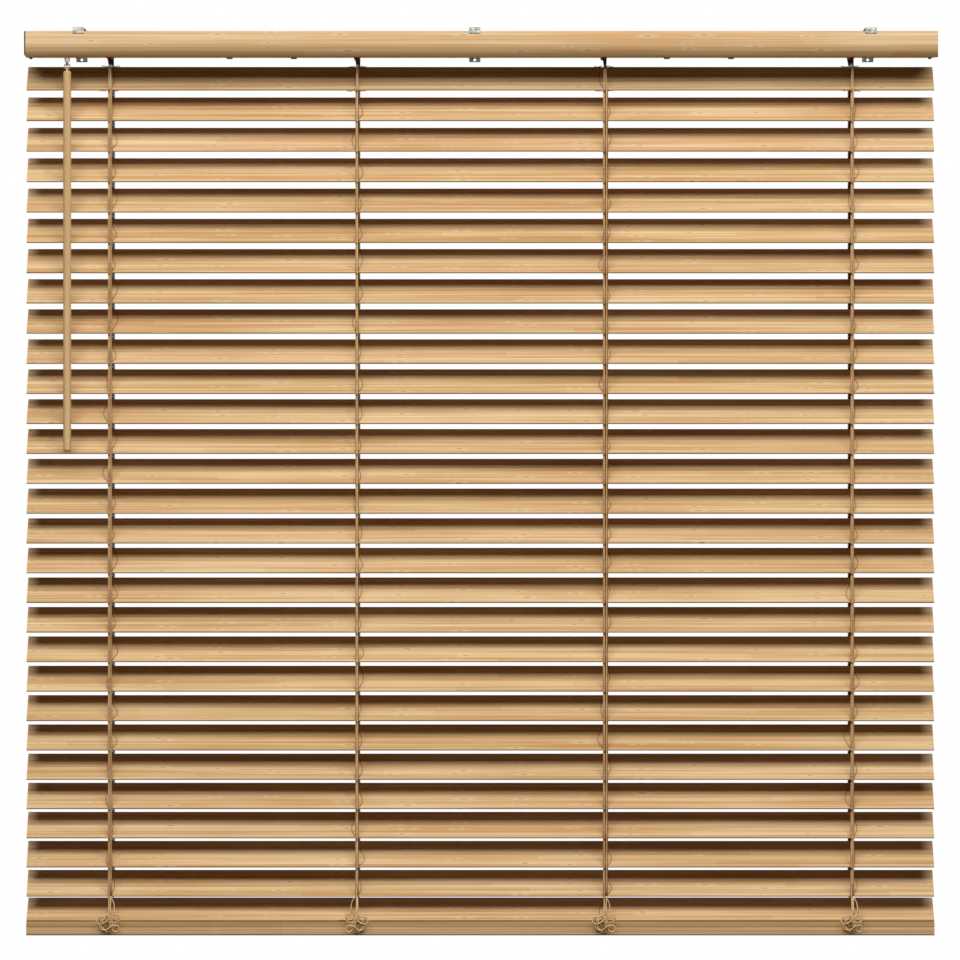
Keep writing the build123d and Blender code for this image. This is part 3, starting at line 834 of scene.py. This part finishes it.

# %% [markdown]
# The slack at the bottom is two limp cords a bundle. The ladder's cord comes down the middle, makes
# loops to the left and right, high and low, and goes into the small hole in the bottom rail. The
# lift cord winds behind it and ends in the same hole. Their points are listed, and a NURBS
# curve smooths them into a cord; a tight turn needs points on both of its sides, or it would kink.
# Where two turns cross, one lies in front of the other.

# %% Slack cord bundles
# Millimetres to the right of, behind and above each bundle's middle
ladder_slack = [
    (0.4, -1.0, 21.4), (0.2, -2.0, 17.0), (-2.0, -2.6, 12.5), (-8.0, -3.0, 9.5), (-15.0, -3.4, 10.0),
    (-18.0, -3.8, 4.5), (-14.0, -4.2, -1.0), (-7.0, -4.6, 0.0), (-1.0, -5.0, 5.0), (4.0, -5.0, 11.0),
    (10.5, -4.6, 14.0), (16.0, -4.2, 10.0), (14.5, -3.6, 3.5), (8.0, -3.2, 1.5), (1.0, -3.0, 2.5),
    (-6.0, -2.6, 2.0), (-10.5, -2.6, -3.0), (-9.0, -3.0, -9.0), (-3.0, -4.0, -10.0), (1.5, -4.8, -5.5),
    (7.0, -5.0, -2.0), (12.6, -4.8, -2.4), (15.8, -4.4, -6.0), (15.0, -3.8, -10.6), (11.0, -3.2, -12.6),
    (6.4, -2.6, -9.8), (3.4, -1.8, -4.4), (0.4, -1.2, 0.6), (-4.6, -0.8, 1.2), (-7.6, -0.4, -1.6),
    (-8.2, -0.2, -5.8), (-6.0, 0.0, -9.4), (-3.2, 1.2, -12.6), (-1.2, 4.2, -13.2), (-0.8, 9.0, -12.7)]
lift_slack = [
    (3.0, 0.6, 16.5), (3.6, 1.6, 12.0), (0.6, 3.0, 7.6), (-5.4, 3.8, 5.6), (-10.8, 3.8, 2.4),
    (-13.4, 3.4, -3.2), (-11.6, 3.0, -9.4), (-5.6, 3.4, -10.6), (0.4, 4.0, -7.4), (3.4, 4.0, -1.4),
    (1.6, 3.4, 4.8), (-3.4, 1.6, 10.4), (-8.4, 0.8, 12.0), (-12.4, 0.8, 10.4), (-13.4, 1.0, 6.2),
    (-10.2, 1.2, 2.2), (-4.0, 1.2, -0.6), (2.6, 0.8, -2.8), (9.0, 1.0, -5.2), (14.0, 2.0, -1.6),
    (14.6, 3.0, 4.0), (12.0, 3.6, 8.6), (7.0, 3.8, 9.0), (4.2, 3.8, 5.0), (5.4, 3.8, -0.6),
    (5.6, 3.0, -4.6), (5.0, 0.6, -8.0), (3.8, -0.2, -11.0), (2.2, 1.6, -13.4), (1.0, 5.0, -13.8),
    (0.8, 9.0, -12.7)]
bundle_looks = [(1.0, 0.98), (-0.97, 1.0), (1.0, 1.0), (0.94, 1.0)]     # width, height; minus mirrors


def slack_cord(name, number, route, thick):
    wide, tall = bundle_looks[number]
    centre = Vector((ladder_x[number], bundle_y, middle(bundle_names[number]).z))
    points = [centre + Vector((px * wide, py, pz * tall)) * mm for px, py, pz in route]
    curve = bpy.data.curves.new(f"{name}_{number + 1}", "CURVE")
    curve.dimensions = "3D"
    curve.bevel_depth = thick / 2
    curve.bevel_resolution = 3
    curve.use_fill_caps = True
    spline = curve.splines.new("NURBS")
    spline.points.add(len(points) - 1)
    for point, spot in zip(spline.points, points):
        point.co = (*spot, 1)
    spline.order_u = 3
    spline.use_endpoint_u = True
    spline.resolution_u = 10
    curve.materials.append(string_cotton)
    obj = bpy.data.objects.new(curve.name, curve)
    bpy.context.scene.collection.objects.link(obj)
    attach(obj, "head_rail")
    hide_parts(bundle_names[number])


for number in range(len(ladder_x)):
    slack_cord("ladder_slack", number, ladder_slack, 2 * string_radius)
    slack_cord("lift_slack", number, lift_slack, 2 * lift_radius)
print(2 * len(ladder_x), "slack cords")
